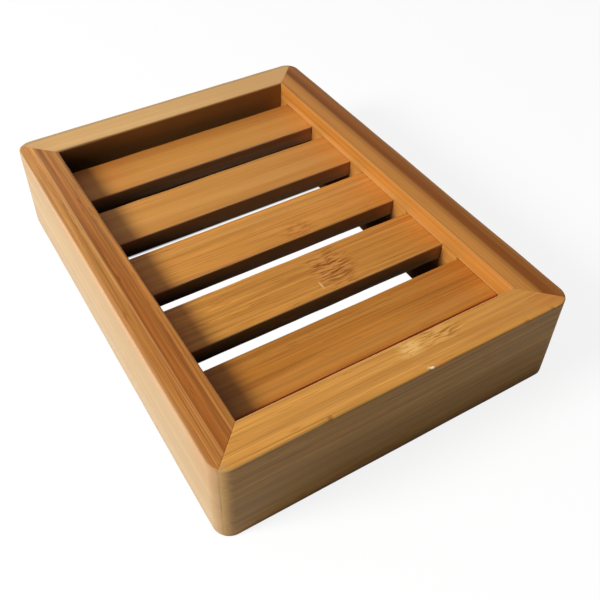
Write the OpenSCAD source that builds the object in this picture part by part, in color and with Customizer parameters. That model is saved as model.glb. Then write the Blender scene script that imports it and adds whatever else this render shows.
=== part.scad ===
// Slatted soap dish in laminated bamboo.
// Four mitred rails make a frame that stands on its own bottom edges. Five slats lie across it,
// each with its two ends housed in mortises cut in the inner faces of the two long rails.
// X runs across the dish, along the slats. Y runs along the long rails. Z is up.
// The origin is at the middle of the footprint, on the surface that the dish stands on.

/* [Frame] */
// Width of the frame, outside to outside, along the slats
frame_width = 85; // [70:1:110]
// Length of the frame, outside to outside, along the long rails
frame_length = 115; // [105:1:150]
// Height of the frame from the surface that it stands on to the rim
frame_height = 23.5; // [18:0.5:35]
// Thickness of a rail, seen from above
rail_thickness = 8.8; // [7:0.1:12]
// Radius of the upright outer corners of the frame
corner_radius = 3.8; // [2:0.1:6]
// Radius of the eased long edges of the rails
rail_edge_radius = 0.4; // [0.3:0.1:1.5]

/* [Slats] */
// Width of one slat
slat_width = 13.7; // [10:0.1:15]
// Thickness of one slat
slat_thickness = 4.5; // [3:0.1:6]
// Radius of the eased long edges of the slats
slat_edge_radius = 0.3; // [0.2:0.1:1]
// Depth of the soap recess, from the rim down to the top of the slats
recess_depth = 5.1; // [3:0.1:8]
// Space between an outer slat and the short rail beside it
end_gap = 3.5; // [2:0.1:6]

/* [Mortises] */
// Depth of the mortises that house the slat ends
mortise_depth = 3; // [2:0.1:4.5]
// Play between a mortise and the top face and long edges of its slat
mortise_play = 0.1; // [0:0.05:0.3]
// Play between the back of a mortise and the end of its slat
end_play = 0.3; // [0.1:0.05:1]

/* [Hidden] */

// Number of slats, and number of sides that stand for a round edge
slat_count = 5;
round_sides = 48;

// How far a cut runs past the face that it opens
overrun = 1;

inner_width = frame_width - 2 * rail_thickness;
inner_length = frame_length - 2 * rail_thickness;
slat_top = frame_height - recess_depth;
slat_bottom = slat_top - slat_thickness;
slat_length = inner_width + 2 * (mortise_depth - end_play);
slat_pitch = (inner_length - 2 * end_gap - slat_width) / (slat_count - 1);

// Where the middle of a slat lies along the long rails, counted from the back of the dish.
function slat_middle(number) = ((slat_count + 1) / 2 - number) * slat_pitch;

// A flat rectangle with its four corners rounded, from the origin to [across, up].
module eased_rectangle(across, up, radius) {
    translate([radius, 0]) square([across - 2 * radius, up]);
    translate([0, radius]) square([across, up - 2 * radius]);
    for (x = [radius, across - radius])
        for (y = [radius, up - radius])
            translate([x, y]) circle(r = radius, $fn = round_sides);
}

// Section of a rail: first coordinate inwards from its outer face, second coordinate upwards.
module rail_section() {
    eased_rectangle(rail_thickness, frame_height, rail_edge_radius);
}

// The outermost part of the section, one corner radius deep, swept through a quarter turn
// from -Y to +X about its inner side.
module rounded_corner() {
    rotate([0, 0, -90])
        rotate_extrude(angle = 90, $fn = 2 * round_sides)
            intersection() {
                translate([corner_radius, 0]) mirror([1, 0]) rail_section();
                square([corner_radius, frame_height]);
            }
}

// A rail along X with its outer face at y = 0, its inside towards +Y and its middle at x = 0.
// Each end is cut at 45 degrees, and its outer corner is half of a rounded corner.
module rail(length) {
    intersection() {
        union() {
            translate([-length / 2 + corner_radius, 0, 0])
                rotate([90, 0, 90])
                    linear_extrude(height = length - 2 * corner_radius) rail_section();
            for (side = [0, 1])
                mirror([side, 0, 0])
                    translate([length / 2 - corner_radius, corner_radius, 0]) rounded_corner();
        }
        mitre_wedge(length);
    }
}

// Everything between the two mitre cuts of a rail of this length.
module mitre_wedge(length) {
    translate([0, 0, -overrun])
        linear_extrude(height = frame_height + 2 * overrun)
            polygon([
                [-length / 2 - overrun, -overrun],
                [length / 2 + overrun, -overrun],
                [length / 2 - rail_thickness - overrun, rail_thickness + overrun],
                [-length / 2 + rail_thickness + overrun, rail_thickness + overrun]
            ]);
}

// One mortise for each slat, cut in the inner face of a rail that lies along X.
module slat_mortises() {
    for (number = [1 : slat_count])
        translate([
            slat_middle(number) - slat_width / 2 - mortise_play,
            rail_thickness - mortise_depth,
            slat_bottom
        ])
            cube([
                slat_width + 2 * mortise_play,
                mortise_depth + overrun,
                slat_thickness + mortise_play
            ]);
}

module short_rail() {
    translate([0, -frame_length / 2, 0]) rail(frame_width);
}

module long_rail() {
    rotate([0, 0, -90])
        translate([0, -frame_width / 2, 0])
            difference() {
                rail(frame_length);
                slat_mortises();
            }
}

module front_rail() {
    color([0.76, 0.55, 0.28]) short_rail();
}

module back_rail() {
    color([0.80, 0.63, 0.42]) rotate([0, 0, 180]) short_rail();
}

module left_rail() {
    color([0.66, 0.43, 0.22]) long_rail();
}

module right_rail() {
    color([0.70, 0.48, 0.25]) rotate([0, 0, 180]) long_rail();
}

// Slats are numbered from the back of the dish to the front.
module slat(number) {
    color([0.78, 0.55, 0.28])
        translate([-slat_length / 2, slat_middle(number) - slat_width / 2, slat_bottom])
            rotate([90, 0, 90])
                linear_extrude(height = slat_length)
                    eased_rectangle(slat_width, slat_thickness, slat_edge_radius);
}

module slat_1() { slat(1); }
module slat_2() { slat(2); }
module slat_3() { slat(3); }
module slat_4() { slat(4); }
module slat_5() { slat(5); }

front_rail();
back_rail();
left_rail();
right_rail();
slat_1();
slat_2();
slat_3();
slat_4();
slat_5();
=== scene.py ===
# %% [markdown]
# # A bamboo soap dish
# The dish is nine sticks of bamboo: four rails mitred into a frame, and five slats that lie in
# mortises cut in the two long rails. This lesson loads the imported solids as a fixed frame,
# then covers each stick with a finer surface of the same size and gives it its own bamboo.

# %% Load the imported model
import math

import bpy
import numpy as np
from mathutils import Matrix, Vector


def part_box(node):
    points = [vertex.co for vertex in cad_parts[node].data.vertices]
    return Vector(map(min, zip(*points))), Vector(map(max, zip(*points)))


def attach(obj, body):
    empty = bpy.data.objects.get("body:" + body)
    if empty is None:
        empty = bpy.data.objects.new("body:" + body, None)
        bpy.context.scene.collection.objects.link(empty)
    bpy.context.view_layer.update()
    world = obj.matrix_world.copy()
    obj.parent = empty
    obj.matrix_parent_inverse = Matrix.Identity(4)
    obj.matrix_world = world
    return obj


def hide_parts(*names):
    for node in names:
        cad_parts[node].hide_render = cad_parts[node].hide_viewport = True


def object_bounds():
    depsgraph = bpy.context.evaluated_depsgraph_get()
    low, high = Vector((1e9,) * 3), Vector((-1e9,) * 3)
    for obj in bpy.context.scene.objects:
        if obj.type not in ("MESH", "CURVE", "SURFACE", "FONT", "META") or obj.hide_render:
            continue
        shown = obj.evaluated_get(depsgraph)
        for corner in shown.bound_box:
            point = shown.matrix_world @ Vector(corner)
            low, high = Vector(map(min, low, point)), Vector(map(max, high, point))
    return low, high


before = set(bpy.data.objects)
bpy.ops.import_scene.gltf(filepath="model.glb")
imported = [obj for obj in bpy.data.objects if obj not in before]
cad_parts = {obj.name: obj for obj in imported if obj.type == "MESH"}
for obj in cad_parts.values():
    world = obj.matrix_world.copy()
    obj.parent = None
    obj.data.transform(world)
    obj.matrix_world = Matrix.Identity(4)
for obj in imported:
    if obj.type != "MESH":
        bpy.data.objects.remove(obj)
cad_low, cad_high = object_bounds()
print("packed nodes:", sorted(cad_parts))

# %% [markdown]
# ## Sizes
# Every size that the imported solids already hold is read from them, so the surfaces can't drift
# away from the part. Work goes on in millimetres, because timber is thought of in millimetres,
# and only the last step of each mesh turns them into metres.

# %% Read the sizes from the frame
MM = 0.001


def box_mm(node):
    """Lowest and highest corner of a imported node, in millimetres."""
    low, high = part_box(node)
    return np.array(low) / MM, np.array(high) / MM


dish_low = np.array(cad_low) / MM
dish_high = np.array(cad_high) / MM
dish_width, dish_length, rail_height = dish_high - dish_low
rail_low, rail_high = box_mm("left_rail")
rail_thickness = rail_high[0] - rail_low[0]
inner_width = dish_width - 2 * rail_thickness
slat_boxes = {f"slat_{number}": box_mm(f"slat_{number}") for number in range(1, 6)}
slat_low, slat_high = slat_boxes["slat_1"]
slat_length = slat_high[0] - slat_low[0]

# Planes for the marks: tops of the rails and of the slats, inner faces of the long rails, outer
# faces of the long and of the short rails.
rim = dish_high[2]
deck = slat_high[2]
wall = inner_width / 2
side_face = dish_high[0]
end_face = dish_high[1]
print("dish in mm:", (dish_high - dish_low).round(2), "rail:", round(rail_thickness, 2))

# %% [markdown]
# ## The camera
# The picture was taken from the front left, looking down at 44 degrees, from less than 20 cm away,
# which is why the near corner looks so large. The place, the lens and the small lens shift come
# from matching the dish's corners, edges and slats to the picture.

# %% Place the camera
camera_target = Vector((-2.340, -7.206, 11.75)) * MM
camera_distance = 188.28 * MM
camera_azimuth = math.radians(29.913)
camera_elevation = math.radians(43.954)
camera_roll = math.radians(-0.356)
camera_lens = 46.886
camera_sensor = 36.0
camera_shift = (0.0492, -0.0492)

camera_back = Vector((
    -math.sin(camera_azimuth) * math.cos(camera_elevation),
    -math.cos(camera_azimuth) * math.cos(camera_elevation),
    math.sin(camera_elevation),
))
camera_data = bpy.data.cameras.new("camera")
camera_data.lens = camera_lens
camera_data.sensor_width = camera_sensor
camera_data.shift_x, camera_data.shift_y = camera_shift
camera_data.clip_start = 0.01
camera_data.clip_end = 20
camera = bpy.data.objects.new("camera", camera_data)
bpy.context.scene.collection.objects.link(camera)
turn = camera_back.to_track_quat("Z", "Y").to_matrix() @ Matrix.Rotation(camera_roll, 3, "Z")
camera.matrix_world = Matrix.Translation(camera_target + camera_back * camera_distance) @ turn.to_4x4()
bpy.context.scene.camera = camera
print("camera stands at", [round(x, 4) for x in camera.matrix_world.translation])

# %% [markdown]
# ## Colours and nodes
# A colour picked from a screen is sRGB, and the renderer works in linear light, so one function
# turns each hex value over. One more adds a shader node, sets it and links it, which keeps every
# material readable from top to bottom. A Mix node has a pair of inputs for each kind of value: its
# numbers are inputs 2 and 3, its colours 6 and 7.

# %% Four helpers for materials
def linear(hex_colour):
    """sRGB hex to linear RGBA: a channel up to 0.04045 is divided by 12.92, and above that it is
    ((channel + 0.055) / 1.055) to the power of 2.4."""
    channels = [int(hex_colour[i : i + 2], 16) / 255 for i in (1, 3, 5)]
    return tuple(c / 12.92 if c <= 0.04045 else ((c + 0.055) / 1.055) ** 2.4 for c in channels) + (1.0,)


def add(tree, kind, inputs=None, stops=None, **settings):
    """Adds one shader node. Settings are its properties, and inputs are the values of its sockets,
    or what links into them: a socket, or a node, which stands for its first output in use.
    Stops are the places and colours of a ramp."""
    made = tree.nodes.new("ShaderNode" + kind)
    for name, value in settings.items():
        setattr(made, name, value)
    for name, value in (inputs or {}).items():
        if isinstance(value, bpy.types.Node):
            value = next(socket for socket in value.outputs if socket.enabled)
        if isinstance(value, bpy.types.NodeSocket):
            tree.links.new(value, made.inputs[name])
        else:
            made.inputs[name].default_value = value
    for index, (place, colour) in enumerate(stops or []):
        ramp = made.color_ramp.elements
        stop = ramp[index] if index < 2 else ramp.new(place)
        stop.position = place
        stop.color = colour
    return made


def new_material(name):
    """A material with no nodes yet, and its node tree."""
    material = bpy.data.materials.new(name)
    material.use_nodes = True
    material.node_tree.nodes.clear()
    return material, material.node_tree


def light_path(tree):
    """The light path node, and 1 where a ray from the camera comes straight or through clear things."""
    seen = add(tree, "LightPath")
    rays = {0: seen.outputs["Is Camera Ray"], 1: seen.outputs["Is Transmission Ray"]}
    return seen, add(tree, "Math", rays, operation="MAXIMUM")


white = linear("#FFFFFF")

# %% [markdown]
# ## The light
# In the picture the left rail's shadow reaches about 7.5 mm across the slats, from a rim that stands
# 5.1 mm above them. So the light comes from the left at about 34 degrees, and the width of the
# shadow's soft edge says that the window is about 19 degrees across. The window is near, only 70 cm
# away, so its light falls off towards the right rail. The shadow gets lighter away from the rail, so
# the sky round the window glows too, strongest at the upper left. The walls that face the camera
# are almost black inside the dish, so the room on that side is dark, and the front rail is lit
# mostly by the floor. The camera and clear things see plain white, and a sheen mirrors a ceiling
# that is paler near the horizon.

# %% Add the key light and the world
light_rise = 0.675
light_back = 0.10
key_width = math.radians(19)
key_distance = 0.70
key_power = 6.1
sky_middle = Vector((-0.45, 0.45, 0.77)).normalized()
sky_narrowing = 2.0
sky_strength = 0.75
room_strength = 0.04

key_data = bpy.data.lights.new("window_light", "AREA")
key_data.shape = "DISK"
key_data.size = 2 * key_distance * math.tan(key_width / 2)
key_data.energy = key_power
key = bpy.data.objects.new("window_light", key_data)
to_key = Vector((-1.0, light_back, light_rise)).normalized()
key.location = to_key * key_distance
key.rotation_mode = "QUATERNION"
key.rotation_quaternion = to_key.to_track_quat("Z", "Y")
key.visible_camera = False
bpy.context.scene.collection.objects.link(key)

world = bpy.data.worlds.new("pale_room")
world.use_nodes = True
sky = world.node_tree
sky.nodes.clear()
seen, looked_at = light_path(sky)
heading = add(sky, "TexCoord").outputs["Generated"]
rising = add(sky, "SeparateXYZ", {0: heading})
ceiling = add(sky, "ValToRGB", {0: rising.outputs["Z"]}, stops=[(0.30, white), (0.75, linear("#8C8C8C"))])
facing = add(sky, "VectorMath", {0: heading, 1: sky_middle}, operation="DOT_PRODUCT")
towards = add(sky, "Math", {0: facing, 1: 0.0}, operation="MAXIMUM")
lobe = add(sky, "Math", {0: towards, 1: sky_narrowing}, operation="POWER")
level = add(sky, "Math", {0: lobe, 1: sky_strength, 2: room_strength}, operation="MULTIPLY_ADD")
room = add(sky, "Background", {"Color": white, "Strength": level})
mirrored = add(sky, "Background", {"Color": ceiling})
plain = add(sky, "Background", {"Color": white})
by_gloss = add(sky, "MixShader", {0: seen.outputs["Is Glossy Ray"], 1: room, 2: mirrored})
by_camera = add(sky, "MixShader", {0: looked_at, 1: by_gloss, 2: plain})
add(sky, "OutputWorld", {"Surface": by_camera})
bpy.context.scene.world = world
bpy.context.scene.view_settings.view_transform = "Standard"
print("key light power", key_power, "sky", sky_strength)

# %% [markdown]
# ## The floor
# The dish stands on a plain pale sheet. The sheet is white where it is looked at, greyer in the
# light that it throws back at the dish, and it keeps a faint shadow. Inside the frame it is seen
# through the drain gaps, and there it is plain white too, but the last part behind y = 27 mm is
# painted dark brown, as painted shade under the dish. The oiled walls would mirror the bright sheet
# inside the frame, so it is dark to glossy rays there.

# %% Make the floor
floor_half = 2000.0
floor_drop = 0.03
floor_glow_share = 0.85
inside_x = (40.0, 36.0)
inside_y = (55.0, 51.0)
pale_until_y = (26.4, 27.2)
lit_from_glow = 0.5
thrown_back = linear("#B2B2B2")
# Painted shade: the dark brown of the sheet under the back of the dish.
unlit_paper = linear("#3A2E22")

floor_corners = np.array([(-1, -1), (1, -1), (1, 1), (-1, 1)], float) * floor_half
floor_points = np.column_stack([floor_corners, np.full(4, -floor_drop)]) * MM
floor_mesh = bpy.data.meshes.new("floor")
floor_mesh.from_pydata(floor_points.tolist(), [], [(0, 1, 2, 3)])
floor = bpy.data.objects.new("floor", floor_mesh)
bpy.context.scene.collection.objects.link(floor)

paper, tree = new_material("matt_white_paper")
seen, looked_at = light_path(tree)
glossy = seen.outputs["Is Glossy Ray"]
shown = add(tree, "Math", {0: looked_at, 1: glossy}, operation="MAXIMUM")
spot = add(tree, "SeparateXYZ", {0: add(tree, "TexCoord").outputs["Object"]})
inside = 1.0
for axis, (outer, inner) in (("X", inside_x), ("Y", inside_y)):
    away = add(tree, "Math", {0: spot.outputs[axis]}, operation="ABSOLUTE")
    within = add(tree, "MapRange", {0: away, 1: outer * MM, 2: inner * MM})
    inside = add(tree, "Math", {0: inside, 1: within}, operation="MULTIPLY")
pale = add(tree, "MapRange", {
    0: spot.outputs["Y"], 1: pale_until_y[0] * MM, 2: pale_until_y[1] * MM, 3: 1.0, 4: 0.0,
})
glowing = add(tree, "Mix", {0: inside, 2: floor_glow_share, 3: pale})
glow_share = add(tree, "Math", {0: looked_at, 1: glowing}, operation="MULTIPLY")
lit = add(tree, "MapRange", {0: glowing, 1: 0.0, 2: lit_from_glow})
mirrored_inside = add(tree, "Math", {0: inside, 1: glossy}, operation="MULTIPLY")
unmirrored = add(tree, "Math", {0: 1.0, 1: mirrored_inside}, operation="SUBTRACT")
paleness = add(tree, "Math", {0: lit, 1: unmirrored}, operation="MULTIPLY")
bare = add(tree, "Mix", {0: paleness, 6: unlit_paper, 7: white}, data_type="RGBA")
tone = add(tree, "Mix", {0: shown, 6: thrown_back, 7: bare}, data_type="RGBA")
matt = add(tree, "BsdfDiffuse", {"Color": tone})
glow = add(tree, "Emission", {"Color": white})
sheet = add(tree, "MixShader", {0: glow_share, 1: matt, 2: glow})
underneath = add(tree, "NewGeometry").outputs["Backfacing"]
open_below = add(tree, "MixShader", {0: underneath, 1: sheet, 2: add(tree, "BsdfTransparent")})
add(tree, "OutputMaterial", {"Surface": open_below})
floor_mesh.materials.append(paper)

# %% [markdown]
# ## A hand-sanded section
# Each stick was planed to a rectangle and its edges eased with sandpaper. An outline whose
# corners each have their own radius says this best, and because a point of an arc depends on the
# radius in a straight line, the radii can change along the stick, as a hand's pressure does.

# %% Outline and waviness
worn_reach = 1.6


def eased_outline(corners, radii, counts, arc_steps):
    """A closed outline with right-angled corners, each eased by its own radius, at every station.

    An arc point is corner + radius * ((1 - sin a) * way to the last corner + (1 - cos a) * way to the
    next one), with a from 0 to a quarter turn. Between two arcs the points are spaced evenly.
    corners is n by 2, radii is stations by n, counts says how many points each side has."""
    to_last = np.roll(corners, 1, axis=0) - corners
    to_next = np.roll(corners, -1, axis=0) - corners
    to_last = to_last / np.linalg.norm(to_last, axis=1, keepdims=True)
    to_next = to_next / np.linalg.norm(to_next, axis=1, keepdims=True)
    angle = np.linspace(0, math.pi / 2, arc_steps + 1)[None, None, :, None]
    lead = (1 - np.sin(angle)) * to_last[None, :, None] + (1 - np.cos(angle)) * to_next[None, :, None]
    arcs = corners[None, :, None] + radii[:, :, None, None] * lead
    starts = np.roll(arcs, -1, axis=1)[:, :, 0]
    parts = []
    for side, count in enumerate(counts):
        share = np.linspace(0, 1, count + 1)[None, 1:-1, None]
        parts.append(arcs[:, side])
        parts.append(arcs[:, side, -1][:, None] * (1 - share) + starts[:, side][:, None] * share)
    return np.concatenate(parts, axis=1)


def inward_of(outline):
    """Unit vectors that point into the stick: the way from each point's last neighbour to its next
    one, turned a quarter to the left."""
    ahead = np.roll(outline, -1, axis=1) - np.roll(outline, 1, axis=1)
    inward = np.stack([-ahead[..., 1], ahead[..., 0]], axis=-1)
    return inward / np.maximum(np.linalg.norm(inward, axis=-1, keepdims=True), 1e-9)


def nearness(outline, corners, radius):
    """1 at a corner, falling in a straight line to 0 at worn_reach radii from it."""
    to_corner = outline[:, :, None] - corners
    away = np.hypot(to_corner[..., 0], to_corner[..., 1]).min(axis=-1)
    return np.clip(1 - away / (worn_reach * radius), 0, 1)


def waves(points, wavelength, seed, count=7):
    """Smooth noise, mostly from -1 to 1: sine waves in random directions and phases, added up and
    divided by the root of their number.

    wavelength has one value per axis of points, in the same unit."""
    random = np.random.default_rng(seed)
    directions = random.normal(size=(count, len(wavelength))) / np.array(wavelength) * 2
    phases = random.uniform(0, 2 * math.pi, count)
    return np.sin(points @ directions.T * math.pi + phases).sum(axis=-1) / math.sqrt(count)

# %% [markdown]
# ## From a grid to a mesh
# A stick is a grid of points: round its section in one direction, along its length in the other.
# The grid closes round the section, and a flat cap closes each end. The volume's sign tells
# whether the faces look outwards, so no normals need guessing.

# %% Turn a grid into a piece
smooth_limit = math.radians(38)


def stick_mesh(name, points, facts):
    """Quads between neighbouring stations and section points, and one flat cap at each end.

    points is stations by section points by 3, in millimetres. facts are values per point."""
    stations, around = points.shape[:2]
    index = np.arange(stations * around).reshape(stations, around)
    beside = np.roll(index, -1, axis=1)
    quads = np.stack([index[:-1], beside[:-1], beside[1:], index[1:]], axis=-1).reshape(-1, 4)
    flat = points.reshape(-1, 3)
    a, b, c, d = (flat[quads[:, i]] for i in range(4))
    volume = (np.einsum("ij,ij->i", a, np.cross(b, c)) + np.einsum("ij,ij->i", a, np.cross(c, d))).sum()
    caps = [index[0][::-1].tolist(), index[-1].tolist()]
    if volume < 0:
        quads = quads[:, ::-1]
        caps = [cap[::-1] for cap in caps]
    mesh = bpy.data.meshes.new(name)
    mesh.from_pydata((flat * MM).tolist(), [], quads.tolist() + caps)
    mesh.polygons.foreach_set("use_smooth", np.ones(len(mesh.polygons), bool))
    mesh.set_sharp_from_angle(angle=smooth_limit)
    for fact, values in facts.items():
        attribute = mesh.attributes.new(fact, "FLOAT", "POINT")
        attribute.data.foreach_set("value", np.ascontiguousarray(values, np.float32).ravel())
    mesh.update()
    return mesh


def show_piece(node, mesh, material):
    """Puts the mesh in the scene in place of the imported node, on the one body."""
    mesh.materials.append(material)
    piece = bpy.data.objects.new(node + "_surface", mesh)
    bpy.context.scene.collection.objects.link(piece)
    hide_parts(node)
    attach(piece, "root")
    print(piece.name, "quads:", len(mesh.polygons) - 2, "material:", material.name)

# %% [markdown]
# ## The way round a corner
# The frame's four upright corners are rounded, and each is shared by two rails that meet in a
# mitre. A line at some depth behind the outer face therefore runs straight, then bends on an arc
# that gets tighter with depth, and stops at the 45 degree cut. Lines deeper than the corner's
# radius don't bend at all. Over the length where the slats are let into a long rail, all lines
# have to keep step, or the cheeks of the mortises would lean.

# %% Carry a section point along a rail
corner_radius = 3.8
seam_setback = 0.01


def along_rail(station, inset, half_length, in_step):
    """Where a point with this inset from the outer face lies, at a station counted from the middle.

    The path runs straight up to the corner's arc, or to the mitre where the inset is larger than the
    corner radius, then turns an eighth of a circle of radius (corner radius - inset). Up to the
    distance in_step a station is the true distance; the rest is stretched to the end of the path.
    Gives the distance along the rail, the inset there and the distance left to the mitre."""
    arc_radius = np.maximum(corner_radius - inset, 0)
    straight = half_length - np.maximum(inset, corner_radius)
    half_path = straight + arc_radius * math.pi / 4 - seam_setback
    wanted = np.abs(station)
    stretch = (half_path - in_step) / (half_length - in_step)
    travelled = np.where(wanted < in_step, wanted, in_step + (wanted - in_step) * stretch)
    turned = np.maximum(travelled - straight, 0) / np.maximum(arc_radius, 1e-6)
    along = np.minimum(travelled, straight) + arc_radius * np.sin(turned)
    inwards = np.where(arc_radius > 0, corner_radius - arc_radius * np.cos(turned), inset)
    return np.sign(station) * along, inwards, half_path - travelled

# %% [markdown]
# ## The details of a rail
# The long edges of a rail are eased with sandpaper, so they are rounder in some places than in
# others, and the two upper ones are given apart for each rail, because they catch the light. The
# faces wander by a few hundredths of a millimetre. The edges of a mitre are broken by a hair, which
# is what makes the joint show as a fine line. The front rim has five small dents. A slat sits in its
# mortise with a little play, and its end stops short of the mortise's back.

# %% Name the sizes of the details
grid_step = 0.3
section_step = 0.5
arc_steps = 5
end_spacing = (0.0, 0.06, 0.14, 0.26, 0.42)

edge_radius = 0.35
edge_play = 0.2
edge_wave = (28.0,)
# Outer and inner upper edge of each rail.
top_edge_radii = {
    "front_rail": (0.36, 0.30),
    "back_rail": (0.40, 0.32),
    "left_rail": (0.25, 0.30),
    "right_rail": (0.40, 0.22),
}
face_wander = 0.015
face_wave = (40.0, 9.0, 9.0)
seam_ease = 0.02
seam_reach = 0.16
# Place along the rail, half length, half breadth and depth.
dents = {
    "front_rail": [
        (5.0, 0.45, 0.5, 0.12), (-18.4, 0.6, 0.7, 0.20), (-19.6, 0.5, 0.5, 0.10),
        (30.0, 0.7, 0.6, 0.15), (37.2, 0.5, 0.6, 0.18),
    ],
}

mortise_play = 0.1
mortise_end_play = 0.3
mortise_edge_radius = 0.12
cheek_width = 0.02
mortise_depth = (slat_length - inner_width) / 2 + mortise_end_play
mortise_floor = slat_low[2]
mortise_roof = slat_high[2] + mortise_play
mortises = [(low[1] - mortise_play, high[1] + mortise_play) for low, high in slat_boxes.values()]
last_cheek = np.abs(mortises).max() + cheek_width
print("mortises: depth", round(mortise_depth, 2), "along the rail", np.round(mortises, 2).tolist())

# %% [markdown]
# ## Sections along a rail
# The short rails are plain sticks, so one section serves for their whole length. A long rail needs
# two: inside a mortise the section has a notch in its inner face, and elsewhere it has none. A mesh
# needs the same number of points at every station, so the notch's points are there everywhere, and
# outside the mortises they lie on the plain wall. Two stations a hair apart make each cheek.

# %% Choose the stations and close the notch
plain_corners = np.array([(0, 0), (rail_thickness, 0), (rail_thickness, rail_height), (0, rail_height)])
notch_corners = np.array([
    (rail_thickness, mortise_floor),
    (rail_thickness - mortise_depth, mortise_floor),
    (rail_thickness - mortise_depth, mortise_roof),
    (rail_thickness, mortise_roof),
])
notched_corners = np.concatenate([plain_corners[:2], notch_corners, plain_corners[2:]])


def own_corners(corners):
    """Which corners are the stick's own four, at its bottom or at its top, and not a notch's."""
    return np.isin(corners[:, 1], (0, rail_height))


def side_counts(corners):
    """How many spaces each side of an outline is cut into, at least 2 and none wider than
    section_step."""
    lengths = np.linalg.norm(np.roll(corners, -1, axis=0) - corners, axis=1)
    return np.maximum(np.ceil(lengths / section_step).astype(int), 2)


def rail_stations(half_length, cheeks):
    """Distances from a rail's middle at which it gets a section: evenly spaced ones, closer ones at
    the mitres, and one on either side of every cheek of a mortise."""
    middle = half_length - end_spacing[-1] - grid_step
    even = np.linspace(-middle, middle, int(2 * middle / grid_step))
    pairs = np.array([cheek + side * cheek_width / 2 for cheek in cheeks for side in (-1, 1)])
    if len(pairs):
        even = even[np.abs(even[:, None] - pairs).min(axis=1) > 2 * cheek_width]
    ends = half_length - np.array(end_spacing)
    return np.sort(np.concatenate([-ends, even, pairs, ends]))


def close_notch(outline, cut):
    """Lays the notch's points evenly on the wall, at the stations that no mortise cuts.

    The notch is corners 2 to 5. Side number i begins after the spaces of the sides before it and
    after i arcs, and corner 5 has an arc of its own at its end."""
    counts = side_counts(notched_corners)
    first = int(counts[:2].sum()) + 2 * arc_steps
    last = int(counts[:5].sum()) + 6 * arc_steps
    share = np.linspace(0, 1, last - first + 1)[None, :, None]
    flat = outline[:, first, None] * (1 - share) + outline[:, last, None] * share
    outline[:, first : last + 1] = np.where(cut[:, None, None], outline[:, first : last + 1], flat)
    return outline

# %% [markdown]
# ## What the material reads
# Bamboo differs with depth behind the outer face, eased edges are rubbed pale, a fresh cut is
# lighter, and a mitre holds a trace of dark glue. A material can't measure these, so the mesh carries
# them as values of its points.

# %% Work out the facts of a rail
cut_reach = 0.3


def rail_facts(outline, corners, left_over, cut):
    """Depth behind the outer face, nearness to an eased edge, whether the mortise's cutter made the
    face, and the distance to the mitre."""
    inset = outline[..., 0]
    height = outline[..., 1]
    level = (height > mortise_floor - cut_reach) & (height < mortise_roof + cut_reach)
    sawn = cut[:, None] * level * (inset > rail_thickness - mortise_depth - cut_reach)
    return {
        "inset": inset,
        "worn": nearness(outline, corners[own_corners(corners)], edge_radius),
        "sawn": sawn.astype(float),
        "seam": left_over,
    }


def dent_depth(spot, node):
    """depth * exp(-(along / half length)^2 - (away / half breadth)^2), added up over the rail's
    dents, where away is counted from the outer upper edge."""
    depth = 0
    for along, half_length, half_breadth, deepest in dents.get(node, ()):
        beside = (spot[..., 0] - along) / half_length
        away = np.hypot(spot[..., 1], spot[..., 2] - rail_height) / half_breadth
        depth = depth + deepest * np.exp(-(beside**2) - away**2)
    return depth

# %% [markdown]
# ## The four rails
# Each rail is its outline carried along the mitred path. The faces are let in by the waves, at the
# mitres and at the dents, never raised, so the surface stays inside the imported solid.

# %% Build the rail surfaces
def build_rail(node, length, corners, across, face, way, seed):
    """The eased outline at every station, moved inwards by the depth of waves, seam and dents, then
    carried along the path. across is the axis that the outer face looks along, face its place there,
    and way is 1 or -1 for the way from it into the rail."""
    half_length = length / 2
    cuts = mortises if len(corners) > len(plain_corners) else []
    in_step = last_cheek if cuts else 0
    station = rail_stations(half_length, np.ravel(cuts))
    cut = np.zeros(len(station), bool)
    for front, back in cuts:
        cut |= (station > front) & (station < back)
    station = station[:, None]
    radii = np.full((len(station), len(corners)), mortise_edge_radius)
    for number in np.flatnonzero(own_corners(corners)):
        radii[:, number] = edge_radius * (1 + edge_play * waves(station, edge_wave, seed * 10 + number))
    for number, radius in zip((-1, -2), top_edge_radii[node]):
        radii[:, number] *= radius / edge_radius
    outline = eased_outline(corners, radii, side_counts(corners), arc_steps)
    if cuts:
        outline = close_notch(outline, cut)
    along, inwards, left_over = along_rail(station, outline[..., 0], half_length, in_step)
    spot = np.stack([along, outline[..., 0], outline[..., 1]], axis=-1)
    depth = np.maximum(face_wander * (1 + waves(spot, face_wave, seed)), 0)
    depth = depth + seam_ease * np.exp(-((left_over / seam_reach) ** 2)) + dent_depth(spot, node)
    outline = outline + inward_of(outline) * depth[..., None]
    along, inwards, left_over = along_rail(station, outline[..., 0], half_length, in_step)
    points = np.stack([along, along, outline[..., 1] + dish_low[2]], axis=-1)
    points[..., across] = face + way * inwards
    return stick_mesh(node, points, rail_facts(outline, corners, left_over, cut))


rails = {
    "front_rail": (dish_width, plain_corners, 1, dish_low[1], 1),
    "back_rail": (dish_width, plain_corners, 1, dish_high[1], -1),
    "left_rail": (dish_length, notched_corners, 0, dish_low[0], 1),
    "right_rail": (dish_length, notched_corners, 0, dish_high[0], -1),
}
rail_meshes = {
    node: build_rail(node, *facts, seed) for seed, (node, facts) in enumerate(rails.items(), start=1)
}

# %% [markdown]
# ## The five slats
# A slat is a planed strip with its long edges just broken. Its two ends hide in mortises, so
# they stay square. As on the rails, its faces are let in a few hundredths here and there, so that
# light does not run along them as on glass.

# %% Build the slat surfaces
slat_edge_radius = 0.3
slat_edge_play = 0.25
slat_edge_wave = (20.0,)
slat_wander = 0.015
slat_wave = (30.0, 8.0, 8.0)
no_seam = 99.0


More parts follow.
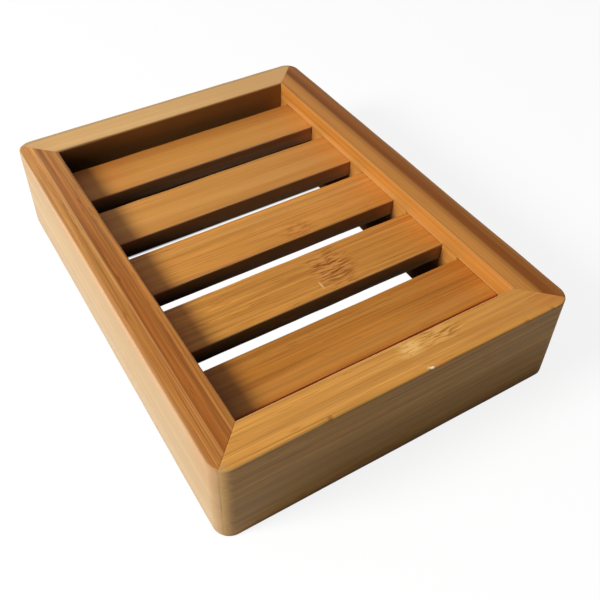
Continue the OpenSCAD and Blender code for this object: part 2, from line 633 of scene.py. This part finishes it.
def build_slat(node, seed):
    """An eased rectangle carried straight from end to end, let in by waves."""
    low, high = slat_boxes[node]
    length, width, thickness = high - low
    corners = np.array([(0, 0), (width, 0), (width, thickness), (0, thickness)])
    along = np.linspace(0, 1, int(length / grid_step) + 1)[:, None] * length
    radii = np.stack([
        slat_edge_radius * (1 + slat_edge_play * waves(along, slat_edge_wave, seed * 10 + number))
        for number in range(len(corners))
    ], axis=1)
    outline = eased_outline(corners, radii, side_counts(corners), arc_steps)
    spot = np.concatenate([np.broadcast_to(along[..., None], outline[..., :1].shape), outline], axis=-1)
    depth = np.maximum(slat_wander * (1 + waves(spot, slat_wave, seed)), 0)
    outline = outline + inward_of(outline) * depth[..., None]
    facts = {
        "inset": outline[..., 0],
        "worn": nearness(outline, corners, slat_edge_radius),
        "sawn": np.zeros(depth.shape),
        "seam": np.full(depth.shape, no_seam),
    }
    return stick_mesh(node, np.concatenate([spot[..., :1], outline], axis=-1) + low, facts)


slat_meshes = {node: build_slat(node, seed) for seed, node in enumerate(slat_boxes, start=11)}

# %% [markdown]
# ## Bamboo, planed and oiled
# Laminated bamboo is strips of the stalk's wall, glued side by side. Seen along the strip it is a
# straw to caramel ground with bundles of darker fibre, each a quarter of a millimetre wide and
# centimetres long, and finer fibres between them. They run almost dead straight, which is what
# tells bamboo from wood. Where the stalk had a knuckle the fibres swirl and break into short dark
# dashes. The colour sits in the plant, and a thin oil finish gives a soft sheen, so the surface is
# a satin dielectric with a fine ridge along every fibre.
#
# All of it is noise that is stretched along the grain. Single fibres are finer than the picture can
# show, so the finest noise is drawn at 0.15 mm.

# %% Stretch noise along the grain
# Each pair is a length along the grain and a breadth across it, in millimetres.
bundle_size = (50.0, 0.80)
strand_size = (45.0, 0.36)
fibre_size = (14.0, 0.15)
dash_size = (5.0, 0.24)
tone_size = (120.0, 2.6)
meander_size = (90.0, 8.0)
patch_size = (18.0, 2.4)
swirl_size = (3.4, 2.2)
ripple_size = (3.6, 0.46)
pit_size = (1.1, 0.30)


def streaks(tree, place, size, detail=1.0, rough=0.5):
    """Noise drawn out along the grain: one feature is about size[0] by size[1] millimetres."""
    scaled = add(tree, "VectorMath", {0: place, 1: (1 / size[0], 1 / size[1], 1 / size[1])},
                 operation="MULTIPLY")
    return add(tree, "TexNoise", {"Vector": scaled, "Scale": 1.0, "Detail": detail, "Roughness": rough})

# %% [markdown]
# ## Knuckles, plies and marks
# A knuckle is an ellipse with a ragged edge. Inside it, the places that the noise is read at are
# pulled sideways, so the fibres swirl. Plies are bands of depth behind the outer face, each with its
# own three browns. Marks are single stains, stripes and rubbed places, each an ellipsoid of one
# colour that fades out at its edge.

# %% Three parts of the bamboo
knuckle_ragged = (0.8, 0.3, 0)
knuckle_pull = (0, 1.0, 0)
knuckle_edge = (1.15, 0.45)
band_edge = (0.18, 0.32)
mark_edge = 1.2


def swirl_knuckles(tree, grain_place, shifted, warped, knuckles):
    """The places that the noise is read at, pulled about inside the knuckles, and for each knuckle
    its mask with its dark and light colour. A mask is its share in the middle and 0 outside."""
    masks = []
    for along, across, half_width, half_breadth, dark, light, share in knuckles:
        swirl = streaks(tree, shifted, swirl_size, 2.0).outputs["Color"]
        near = add(tree, "Mapping", {
            "Vector": grain_place,
            "Location": (-along / half_width, -across / half_breadth, 0),
            "Scale": (1 / half_width, 1 / half_breadth, 0),
        })
        ragged = add(tree, "VectorMath", {0: swirl, 1: knuckle_ragged, 2: near}, operation="MULTIPLY_ADD")
        centred = add(tree, "VectorMath", {0: ragged, 1: tuple(x / 2 for x in knuckle_ragged)},
                      operation="SUBTRACT")
        away = add(tree, "VectorMath", {0: centred}, operation="LENGTH")
        inside = add(tree, "MapRange", {0: away, 1: knuckle_edge[0], 2: knuckle_edge[1]})
        mask = add(tree, "Math", {0: inside, 1: share}, operation="MULTIPLY")
        masks.append((mask, linear(dark), linear(light)))
        pull = add(tree, "VectorMath", {0: swirl, 1: knuckle_pull}, operation="MULTIPLY")
        pulled = add(tree, "VectorMath", {0: pull, "Scale": inside}, operation="SCALE")
        warped = add(tree, "VectorMath", {0: pulled, 1: warped}, operation="ADD")
    return warped, masks


def lay_bands(tree, tone, depth, bands, tone_span):
    """The ground colour: the tone runs through a band's dark, middle and light colour, and each band
    gives way to the next one at that one's depth."""
    colour = None
    for start, tints in bands:
        stops = [(0.5 + side * tone_span, linear(tint)) for side, tint in zip((-1, 0, 1), tints.split())]
        ground = add(tree, "ValToRGB", {0: tone}, stops=stops)
        if colour is None:
            colour = ground
            continue
        step = add(tree, "MapRange", {0: depth, 1: start + band_edge[0], 2: start + band_edge[1]})
        colour = add(tree, "Mix", {0: step, 6: colour, 7: ground}, data_type="RGBA")
    return colour


def place_marks(tree, colour, place, marks):
    """The colour with the marks on it. A mark has its full share up to the given part of its half
    size, and none from mark_edge on."""
    for spot, half_size, turned, tint, share, full in marks:
        moved = add(tree, "VectorMath", {0: place, 1: tuple(MM * x for x in spot)}, operation="SUBTRACT")
        sized = add(tree, "Mapping", {
            "Vector": moved,
            "Rotation": (0, 0, math.radians(turned)),
            "Scale": tuple(1 / (MM * x) for x in half_size),
        })
        away = add(tree, "VectorMath", {0: sized}, operation="LENGTH")
        covered = add(tree, "MapRange", {0: away, 1: mark_edge, 2: full, 3: 0.0, 4: share})
        colour = add(tree, "Mix", {0: covered, 6: colour, 7: linear(tint)}, data_type="RGBA")
    return colour

# %% [markdown]
# ## Fibres and knuckle dashes
# The fibres only make the ground lighter and darker, so one sum of three noises does it: bundles,
# strands and single fibres. Some strands are dark all along, and short dark dashes come in crowds.
# Inside a knuckle the fibres are cut off into dashes with small pits between them. Noise hovers
# round 0.5, so a range above that picks few places, and one across it picks about half of them.

# %% Draw the fibres and the knuckles
fibre_weights = {"bundles": 0.46, "strands": 0.58, "fibres": 0.30}
dark_fibre = linear("#B0743E")
dark_pit = linear("#6E3A16")


def draw_fibres(tree, colour, shifted, warped, strength):
    """The colour times 1 + strength * (the sum of weight * (noise - 0.5)), with the dark strands and
    dashes multiplied in, and the noises that it used."""
    noises = {
        "bundles": streaks(tree, warped, bundle_size, 1.0, 0.6),
        "strands": streaks(tree, warped, strand_size, 1.0, 0.6),
        "fibres": streaks(tree, warped, fibre_size),
        "patches": streaks(tree, shifted, patch_size),
    }
    swing = 0.0
    for kind, weight in fibre_weights.items():
        centred = add(tree, "Math", {0: noises[kind], 1: 0.5}, operation="SUBTRACT")
        swing = add(tree, "Math", {0: centred, 1: weight, 2: swing}, operation="MULTIPLY_ADD")
    shade = add(tree, "Math", {0: swing, 1: strength, 2: 1.0}, operation="MULTIPLY_ADD")
    colour = add(tree, "VectorMath", {0: colour, "Scale": shade}, operation="SCALE")

    dashes = streaks(tree, warped, dash_size)
    strand_dark = add(tree, "MapRange", {0: noises["strands"], 1: 0.56, 2: 0.68, 4: 0.42})
    dash_dark = add(tree, "MapRange", {0: dashes, 1: 0.60, 2: 0.70, 4: 0.30})
    some = add(tree, "MapRange", {0: noises["patches"], 1: 0.35, 2: 0.65, 3: 0.3})
    crowd = add(tree, "MapRange", {0: noises["patches"], 1: 0.50, 2: 0.38})
    for darkness, where in ((strand_dark, some), (dash_dark, crowd)):
        drawn = add(tree, "Math", {0: darkness, 1: strength}, operation="MULTIPLY")
        share = add(tree, "Math", {0: drawn, 1: where}, operation="MULTIPLY")
        colour = add(tree, "Mix", {0: share, 6: colour, 7: dark_fibre}, data_type="RGBA",
                     blend_type="MULTIPLY")
    return colour, noises


def fill_knuckles(tree, colour, warped, masks):
    """The colour with dark and light dashes and dark pits inside each knuckle's mask."""
    ripples = add(tree, "MapRange", {0: streaks(tree, warped, ripple_size), 1: 0.42, 2: 0.56})
    pits = add(tree, "MapRange", {0: streaks(tree, warped, pit_size), 1: 0.66, 2: 0.74, 4: 0.6})
    for mask, dark, light in masks:
        dashed = add(tree, "Mix", {0: ripples, 6: dark, 7: light}, data_type="RGBA")
        pitted = add(tree, "Mix", {0: pits, 6: dashed, 7: dark_pit}, data_type="RGBA")
        colour = add(tree, "Mix", {0: mask, 6: colour, 7: pitted}, data_type="RGBA")
    return colour

# %% [markdown]
# ## What tools and hands did
# The mortise's cutter leaves fresh, pale bamboo. Handling and sandpaper rub the eased edges pale,
# most of all on the lighter bundles. Glue darkens a mitre here and there.

# %% Cut, rub and glue
fresh_cut = linear("#C79A62")
rubbed_edge = linear("#E6C694")
glue_line = linear("#5A3C1E")


def work_on(tree, colour, noises, wear):
    """The colour with the cut faces, the rubbed edges and the glue that the mesh's values name."""
    worn, sawn, seam = (
        add(tree, "Attribute", attribute_name=fact).outputs["Fac"] for fact in ("worn", "sawn", "seam")
    )
    cut_share = add(tree, "MapRange", {0: sawn, 4: 0.6})
    rubbed = add(tree, "Math", {0: worn, 1: noises["bundles"]}, operation="MULTIPLY")
    rubbed_share = add(tree, "MapRange", {0: rubbed, 1: 0.2, 2: 0.5, 4: wear})
    broken = add(tree, "MapRange", {0: noises["patches"], 1: 0.42, 2: 0.62, 4: 0.25})
    near_seam = add(tree, "MapRange", {0: seam, 1: 0.14, 2: 0.02})
    glue_share = add(tree, "Math", {0: broken, 1: near_seam}, operation="MULTIPLY")
    for share, tint in ((cut_share, fresh_cut), (rubbed_share, rubbed_edge), (glue_share, glue_line)):
        colour = add(tree, "Mix", {0: share, 6: colour, 7: tint}, data_type="RGBA")
    return colour

# %% [markdown]
# ## The whole bamboo
# The layers go on in the order in which the real ones come: plies, fibres and knuckles, then the
# maker's work, then the marks. Each stick reads the noise at another place, so no two are alike.
# Oil leaves bamboo satin, and it soaks in unevenly, so the roughness follows the fibres.

# %% One function for the bamboo of any piece
stalk_step = (37.0, 11.0, 5.0)
meander_pull = (0, 0.7, 0.7)
band_waver = 0.5
skin_edge = (0.38, 0.52)
ridge_height = 0.04
ridge_strength = 0.4
oil_roughness = (0.38, 0.50)
oil_ior = 1.5
oil_specular = 0.17


def bamboo(name, turn_degrees, seed, bands, grain=1.0, skin=1.0, tone_span=0.21, wear=0.15,
           knuckles=(), marks=()):
    """Bamboo whose fibres run along X, or along Y where turn_degrees is -90.

    bands is a list of (depth behind the outer face, dark, middle and light brown in one text).
    grain is how strongly the fibres show, skin the same for the outermost fifth of a millimetre.
    tone_span is how far the tone has to swing to reach the dark or the light colour, wear how pale
    the eased edges are.
    knuckles is a list of (place along the grain, place across, half width, half breadth, dark and
    light colour of the dashes, share).
    marks is a list of (place, half size, turn about Z in degrees, colour, share, where it is full)."""
    material, tree = new_material(name)
    place = add(tree, "TexCoord").outputs["Object"]
    grain_place = add(tree, "Mapping", {
        "Vector": place,
        "Scale": (1 / MM, 1 / MM, 1 / MM),
        "Rotation": (0, 0, math.radians(turn_degrees)),
    })
    shifted = add(tree, "VectorMath", {0: grain_place, 1: tuple(x * seed for x in stalk_step)},
                  operation="ADD")
    bend = streaks(tree, shifted, meander_size, 2.0)
    bent = add(tree, "VectorMath", {0: bend.outputs["Color"], 1: meander_pull, 2: shifted},
               operation="MULTIPLY_ADD")
    warped, masks = swirl_knuckles(tree, grain_place, shifted, bent, knuckles)

    inset = add(tree, "Attribute", attribute_name="inset").outputs["Fac"]
    depth = add(tree, "Math", {0: bend, 1: band_waver, 2: inset}, operation="MULTIPLY_ADD")
    tone = streaks(tree, warped, tone_size, 3.0, 0.55)
    strength = add(tree, "MapRange", {0: depth, 1: skin_edge[0], 2: skin_edge[1], 3: skin, 4: grain})
    colour = lay_bands(tree, tone, depth, bands, tone_span)
    colour, noises = draw_fibres(tree, colour, shifted, warped, strength)
    colour = fill_knuckles(tree, colour, warped, masks)
    colour = work_on(tree, colour, noises, wear)
    colour = place_marks(tree, colour, place, marks)

    ridge = add(tree, "Math", {0: noises["fibres"], 1: noises["strands"]}, operation="ADD")
    bump = add(tree, "Bump", {"Height": ridge, "Strength": ridge_strength, "Distance": ridge_height * MM})
    low, high = oil_roughness
    sheen = add(tree, "MapRange", {0: noises["fibres"], 1: 0.3, 2: 0.7, 3: low, 4: high})
    wood = add(tree, "BsdfPrincipled", {
        "Base Color": colour,
        "Roughness": sheen,
        "IOR": oil_ior,
        "Specular IOR Level": oil_specular,
        "Normal": bump,
    })
    add(tree, "OutputMaterial", {"Surface": wood})
    return material

# %% [markdown]
# ## The plies of the rails
# No two sticks were cut from the same stalk, so each has its own browns and its own run of fibres.
# The plies of the long rails and of the back rail show on top as stripes. A first ply starts in front
# of the outer face, so it lasts until the second one begins.

# %% Colour the plies
front_bands = [
    (-1.0, "#B2823C #BF8C43 #C89753"),
    (0.30, "#BB833C #CA8E42 #D3984F"),
]
back_bands = [
    (-1.0, "#AF8A58 #B89364 #C09D72"),
    (1.30, "#C69A5D #CFA36A #D8AD77"),
    # From the inner edge on, the browns are partly the ply's own and partly painted shade on the inner
    # face.
    (8.45, "#8E6434 #9A6E3C #A87A46"),
]
left_bands = [
    (-1.0, "#A88960 #B09062 #BC9C72"),
    (0.32, "#AB7234 #B97D3D #C28A4A"),
    (1.25, "#B27939 #C08442 #CA9250"),
    (2.00, "#A97032 #B47A3C #BF8747"),
    (2.95, "#B88044 #C48B4D #CE975A"),
    (3.65, "#8A4F1C #945620 #A06027"),
    (5.25, "#995C27 #A6662B #B16F34"),
    (6.90, "#AA6C30 #B47737 #C08341"),
    (8.35, "#925F2B #9E6934 #A9723B"),
]
right_bands = [
    (-1.0, "#844F1F #915924 #9D632C"),
    (2.30, "#794314 #874D18 #93561D"),
    (3.00, "#723D0F #7E4513 #8B5016"),
    (4.30, "#89531C #965C23 #A2672B"),
    (4.75, "#A36A2E #AE7435 #B77E3D"),
    (5.60, "#AD7234 #BB7C39 #C58740"),
    (8.00, "#A96925 #B67832 #C48945"),
]

# %% [markdown]
# ## The knuckles and marks of the rails
# A knuckle crosses the top of the front rail, with a pale patch beside it. The marks sit where the
# picture has them: stripes, stains, a chip in the front rim, and a few places that are in deeper
# shade than the light alone gives them.

# %% Place the marks of the rails
cheek_shades = [
    ((wall, low[1] - 0.6, 16), (1, 1.8, 2.6), 0, "#8A5626", 0.55, 0.1)
    for low, high in slat_boxes.values()
]
front_knuckles = [
    (4.3, -51, 3.2, 2.6, "#CC9450", "#E4B268", 0.95),
    (11.5, -51, 5.8, 2.6, "#9E6824", "#DCA258", 0.85),
]
front_marks = [
    # Dark fibre along the top, and a darker stripe beside it.
    ((-5, -53.3, rim), (42, 0.3, 1), 0, "#A8702C", 0.45, 0.3),
    ((-5, -53.9, rim), (70, 1.7, 0.6), 0, "#A2682A", 0.25, 0),
    # Redder towards the right end.
    ((42, -53, rim), (28, 9, 0.6), 0, "#A85E28", 0.2, 0),
    ((39.5, -54.5, rim), (6, 4, 0.6), 0, "#B8642C", 0.3, 0),
    # Pale inner edge.
    ((0, -48.8, rim), (90, 0.6, 0.6), 0, "#E0B47C", 0.2, 0),
    # Red rim beside the chip, then the chip itself in pale raw bamboo.
    ((7.4, -57.4, 23.4), (1.8, 0.5, 0.5), 0, "#D87C48", 0.7, 0.3),
    ((5, -57.1, 23.45), (0.55, 0.26, 0.4), 25, "#FFF2E0", 0.95, 0.5),
    ((4.5, -56.8, rim), (0.55, 0.2, 0.6), -45, "#F4DCB0", 0.7, 0.3),
    # Painted contact shade along the foot.
    ((0, -end_face, 0), (90, 4, 1.6), 0, "#22262A", 0.6, 0),
    # Darker in a dent.
    ((-18.4, -57, 23.3), (0.7, 0.6, 0.5), 0, "#7E4A20", 0.6, 0.3),
    # Painted shade on the lower half, browner towards the floor.
    ((0, -end_face, 7.5), (90, 1.5, 7), 0, "#544020", 0.3, 0),
    # Paler at the corner.
    ((-41.2, -56.6, 12), (2.2, 2, 60), 0, "#B08E5A", 0.6, 0.2),
]
back_marks = [
    # Browner towards both ends.
    ((30, 53, rim), (30, 9, 0.6), 0, "#BE8646", 0.22, 0),
    ((-42, 53, rim), (9, 9, 0.6), 0, "#A47846", 0.25, 0),
    # Deep shade at the left end of the inner face.
    ((-35, 48.7, 18.5), (22, 1.5, 6.5), 0, "#100C08", 0.85, 0.1),
]
left_marks = [
    # Outer face: warm below the rim and greyer towards the foot.
    ((-side_face, 0, rim), (1, 90, 6), 0, "#A0744A", 0.4, 0),
    ((-side_face, 0, rim), (1, 90, 2.6), 0, "#D9A068", 0.45, 0),
    ((-side_face, 0, 0), (1, 90, 9), 0, "#ACA08A", 0.32, 0),
    # Painted shade on the inner edge near the front, where the slats meet the rail.
    ((-33.9, -42, rim), (0.8, 12, 0.6), 0, "#7A4418", 0.35, 0.2),
    # Browner near the front corner, and paler towards the back.
    ((-side_face, -53.5, 20), (2, 8, 7), 0, "#A87238", 0.4, 0.2),
    ((-38, -36, rim), (12, 40, 0.6), 0, "#8C4E1C", 0.36, 0),
    ((-38, 50, rim), (12, 45, 0.6), 0, "#D8B88A", 0.08, 0),
    ((-39.5, -54, rim), (4, 11, 0.6), 0, "#96581F", 0.3, 0),
    ((-41.9, -57, 6), (3.4, 4, 14), 0, "#AE7C48", 0.42, 0.2),
]
right_marks = [
    # Fibres along the inner face.
    ((wall, 14, 19.5), (0.6, 50, 0.9), 0, "#E0B074", 0.2, 0.4),
    ((wall, 6, 20.6), (0.6, 80, 0.22), 0, "#AC6420", 0.22, 0.3),
    ((wall, -8, 21.4), (0.6, 60, 0.3), 0, "#DCA04C", 0.2, 0.3),
    ((wall, -4, 22.2), (0.6, 80, 0.22), 0, "#AC6420", 0.18, 0.3),
    ((wall, 0, 22.85), (0.5, 90, 0.35), 0, "#D8A45C", 0.15, 0.4),
    # Painted shade on the inner upper edge, which dims its highlight.
    ((wall, 0, rim), (0.5, 90, 0.3), 0, "#A86C30", 0.6, 0.5),
    # Shade beside the slats' front sides.
    *cheek_shades,
    # Hardly any light below the slats.
    ((wall, 0, 5), (1.5, 90, 8.5), 0, "#2C1C08", 0.9, 0.7),
    # Pale outer edge.
    ((side_face, 0, 23.3), (0.8, 90, 1.2), 0, "#B09A80", 0.4, 0),
    # Browner at the front mitre.
    ((38, -57, rim), (9, 18, 0.6), 0, "#8A4A22", 0.2, 0),
]

# %% [markdown]
# ## Four finished rails
# The grain runs along each rail, so the long ones have it turned by a quarter. The front rail shows
# the most fibres on its faces, the left one on its top, and the back one is nearly plain.

# %% Dress the rails
rail_finish = {
    "front_rail": bamboo(
        "oiled_bamboo_front_rail", 0, 1, front_bands, grain=1.4, skin=1.9, tone_span=0.36, wear=0.2,
        knuckles=front_knuckles, marks=front_marks,
    ),
    "back_rail": bamboo(
        "oiled_bamboo_back_rail", 0, 2, back_bands, grain=0.22, skin=0.6, tone_span=0.45,
        marks=back_marks,
    ),
    "left_rail": bamboo(
        "oiled_bamboo_left_rail", -90, 3, left_bands, grain=2.3, skin=0.42, tone_span=0.25, wear=0.05,
        marks=left_marks,
    ),
    "right_rail": bamboo(
        "oiled_bamboo_right_rail", -90, 4, right_bands, grain=0.6, skin=0.8, tone_span=0.25,
        marks=right_marks,
    ),
}
for node, mesh in rail_meshes.items():
    show_piece(node, mesh, rail_finish[node])

# %% [markdown]
# ## A bamboo for each slat
# A slat's top is one brown, and its front side, which looks at the camera through the drain gap, has
# another one in its lower part and a third below its upper edge, partly the slat's own colour and
# partly painted shade of the gap. The last slat's front side is redder than the others. A knuckle
# crosses the fourth slat, and a faint one the third. Painted warm light from the lit wall of the
# right rail lies on the right ends. At the left ends, in the left rail's shadow, painted shade makes
# the tops redder and the sides nearly black.

# %% Dress the slats
slat_looks = [
    ("#B47737 #BF8139 #C68A41", 0.4),
    ("#B77D3A #C3853E #CB9046", 0.75),
    ("#BC8135 #CB8A3E #D7974D", 1.55),
    ("#B57934 #C18439 #CD9042", 1.8),
    ("#A06421 #AB6D28 #B77A32", 1.55),
]
# The front sides' browns: partly the slats' own colour, partly painted shade of the drain gaps.
slat_side_and_shade_browns = [
    "#94785A #A38365 #B48F6E",
    "#987356 #A6815C #B78A66",
    "#8B6E52 #997B5C #AB8763",
    "#776D54 #83795D #928768",
    "#B85A1C #C46424 #D06E2C",
]
# Below the upper edge of each front side: partly the slat's own colour, partly painted shade, lighter
# near the gap's mouth.
slat_upper_side_and_shade_browns = ["#A7713E", "#B47A43", "#9C6E39", "#956E36", "#C46424"]
side_depth = 0.15
slat_knuckles = {
    "slat_3": [(7, -4.3, 4.8, 3.2, "#9A5C22", "#CE8840", 0.75)],
    "slat_4": [(6.8, -19, 6, 7.4, "#824610", "#CA8C48", 1)],
}
# Painted warm bounce light from the right rail's lit wall on the right ends of the tops.
right_painted_bounce = ((38, 0, deck), (20, 90, 3), 0, "#BC6220", 0.3, 0)


def stripe(y, half_breadth, tint, share, full=0.4):
    """A mark over the whole length of a slat's top."""
    return ((0, y, deck), (200, half_breadth, 1), 0, tint, share, full)


slat_marks = {
    "slat_1": [
        # Red painted shade on the left, brown painted shade along the back, and pale along the front.
        ((-24, 39, deck), (8, 9, 2), 0, "#B0642C", 0.4, 0),
        stripe(45.2, 4.5, "#8A4414", 0.42),
        stripe(34.5, 2.2, "#D69A50", 0.35),
    ],
    "slat_2": [
        # A brown and a pale stripe.
        stripe(21.8, 1.6, "#A06424", 0.2),
        stripe(17.3, 1.3, "#DAA45C", 0.3),
    ],
    "slat_3": [
        # Redder right half, a brown stripe in front and a pale one behind.
        ((12, 0, deck), (26, 9, 2), 0, "#B06C28", 0.22, 0),
        stripe(-6.4, 1.4, "#8A5420", 0.25),
        stripe(3.7, 0.9, "#DCA45C", 0.3),
    ],
    "slat_4": [
        # Redder right half.
        ((14, -19.2, deck), (28, 9, 2), 0, "#B06C28", 0.25, 0),
        # Two stripes and two short fibres, all brown.
        stripe(-23.5, 0.6, "#8A5420", 0.35, 0.3),
        stripe(-21.5, 0.7, "#8A5420", 0.22, 0.3),
        ((22.5, -17.7, deck), (11, 0.24, 1), 0, "#8A541C", 0.4, 0.3),
        ((23, -23.7, deck), (11, 0.26, 1), 0, "#8A541C", 0.4, 0.3),
        # A scratch.
        ((1.7, -23, deck), (0.26, 1.3, 1), 8, "#DDB07C", 0.8, 0.5),
    ],
    "slat_5": [
        # A pale stripe, and the corner shade at the left end.
        stripe(-42.6, 2.2, "#C88C44", 0.3),
        ((-34, -40, deck), (7, 12, 2), 0, "#5A4228", 0.45, 0.3),
    ],
}
# Painted warm bounce light on the front sides near the right rail.
side_painted_bounce = ((34, 0, 15.9), (5, 90, 2.1), 0, "#D29458", 0.35, 0.2)
# Painted red tint of the shade on the tops at the left ends.
left_painted_shade_tint = ((-34, 0, deck), (7, 90, 3), 0, "#C06A44", 0.35, 0.5)
# Painted shade, nearly black, on the sides at the left ends.
left_painted_shade = ((-34, 0, 13), (26, 90, 4.45), 0, "#0C0A08", 0.8, 0.5)
for number, (node, mesh) in enumerate(slat_meshes.items()):
    ground, grain = slat_looks[number]
    bands = [(-1.0, slat_side_and_shade_browns[number]), (side_depth, ground)]
    upper_side = ((0, 0, 17.15), (200, 90, 1), 0, slat_upper_side_and_shade_browns[number], 0.9, 0.5)
    marks = [upper_side, side_painted_bounce, right_painted_bounce, left_painted_shade_tint, left_painted_shade, *slat_marks[node]]
    finish = bamboo("oiled_bamboo_" + node, 0, 11 + number, bands, grain=grain,
                    knuckles=slat_knuckles.get(node, ()), marks=marks)
    show_piece(node, mesh, finish)

# %% [markdown]
# ## Measure and finish
# The surfaces must stay inside the imported solids' box. The last line prints that box.

# %% Print the imported solids' box
print("CAD box", [list(cad_low), list(cad_high)])
